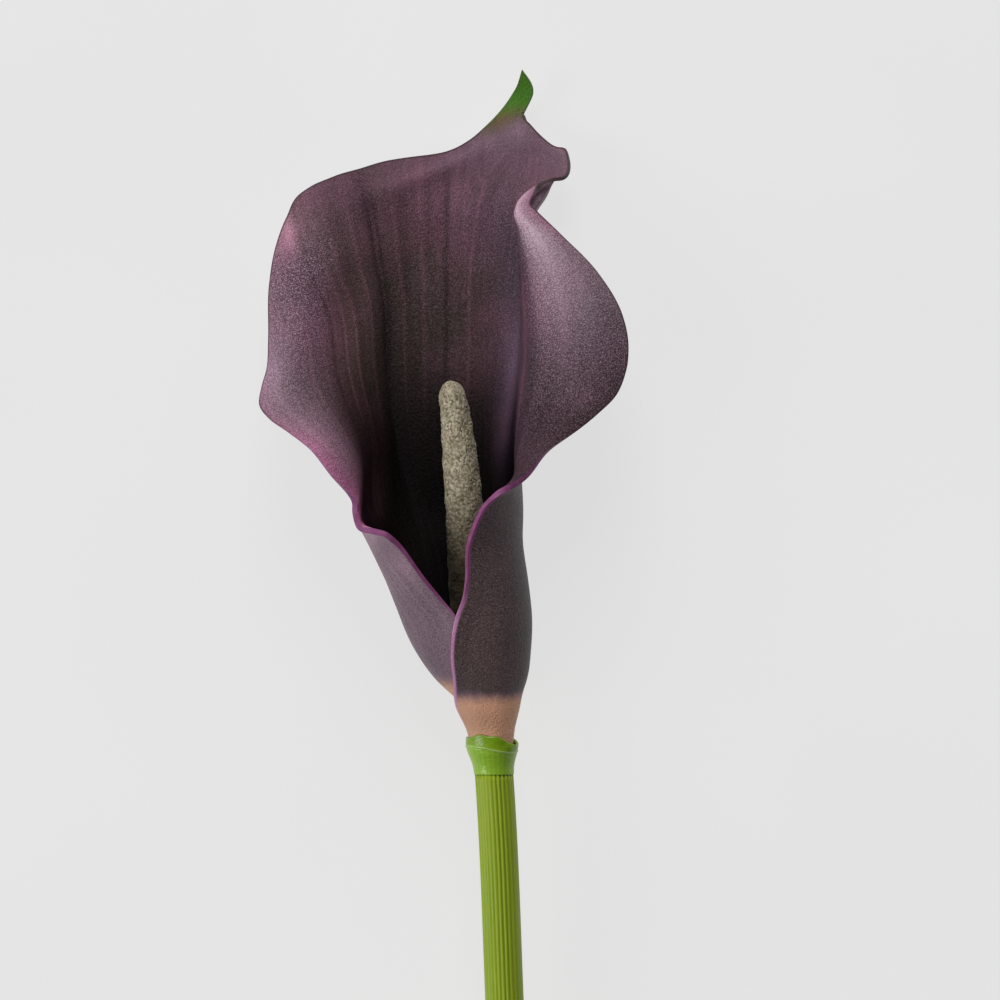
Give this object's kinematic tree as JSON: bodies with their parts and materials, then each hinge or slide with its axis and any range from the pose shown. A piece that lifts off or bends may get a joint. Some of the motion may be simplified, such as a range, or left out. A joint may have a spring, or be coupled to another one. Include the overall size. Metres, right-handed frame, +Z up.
{
  "type": "calla lily flower",
  "caption": "Cut calla lily, a dark satin spathe rolled round a grainy spadix on a long ribbed green stalk, lying on its back for bouquets, vases and table decoration.",
  "frame": {"origin": "middle of the flower's footprint on the surface that it lies on", "axes": "+Y from the cut end of the stalk to the tip of the spathe, +Z up out of the open throat, +X to the flower's right as one looks down into the throat"},
  "size_m": [0.073, 0.3783, 0.0324],
  "materials": {
    "spathe": "dark aubergine satin with a pink-grey bloom, pink rims and a green tip",
    "spadix": "matt grainy khaki",
    "stem": "ribbed green, faint sheen",
    "collar": "glossy translucent green wrap"
  },
  "bodies": {
    "root": {"spathe": "spathe", "spadix": "spadix", "stem": "stem", "collar": "collar"}
  },
  "joints": []
}
